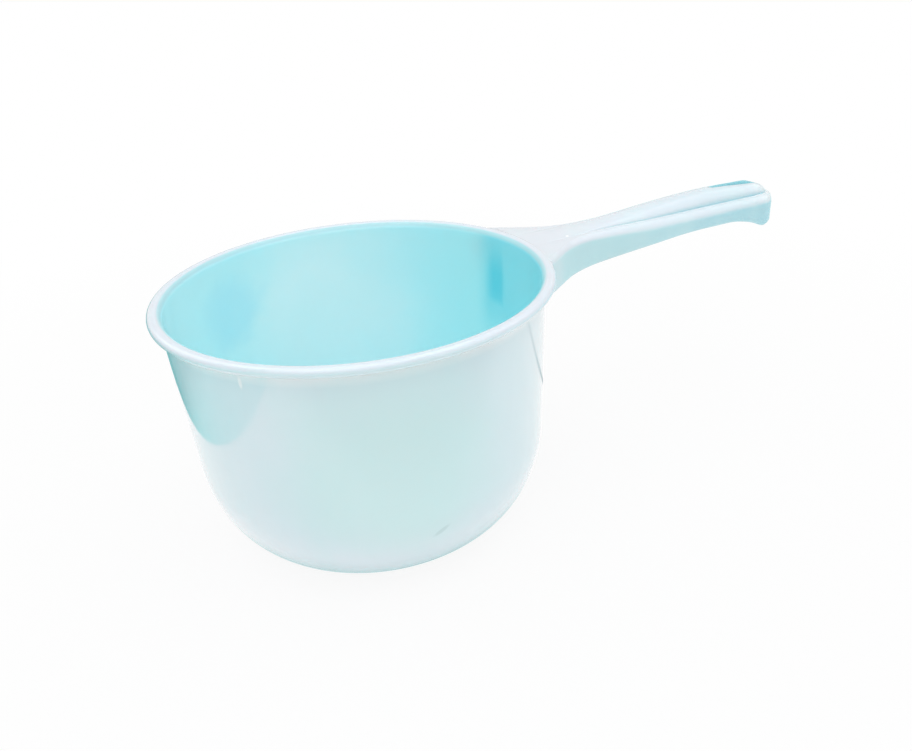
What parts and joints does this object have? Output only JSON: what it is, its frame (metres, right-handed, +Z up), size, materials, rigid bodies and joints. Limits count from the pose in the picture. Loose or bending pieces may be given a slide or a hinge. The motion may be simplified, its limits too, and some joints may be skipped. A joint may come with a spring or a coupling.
{
  "type": "water dipper",
  "caption": "Moulded plastic water dipper: a deep round bowl with a beaded rim, and a hollow handle that is open below, with a raised crown and a hanging slot near its end.",
  "frame": {"origin": "centre of the bowl's flat foot, on the surface that the dipper stands on", "axes": "+Z up along the bowl's axis, +X along the handle from the bowl to its end, +Y across the handle by the right-hand rule"},
  "size_m": [0.333, 0.18, 0.1262],
  "materials": {
    "dipper": "glossy pale turquoise, slightly translucent"
  },
  "bodies": {
    "root": {"dipper": "dipper"}
  },
  "joints": []
}
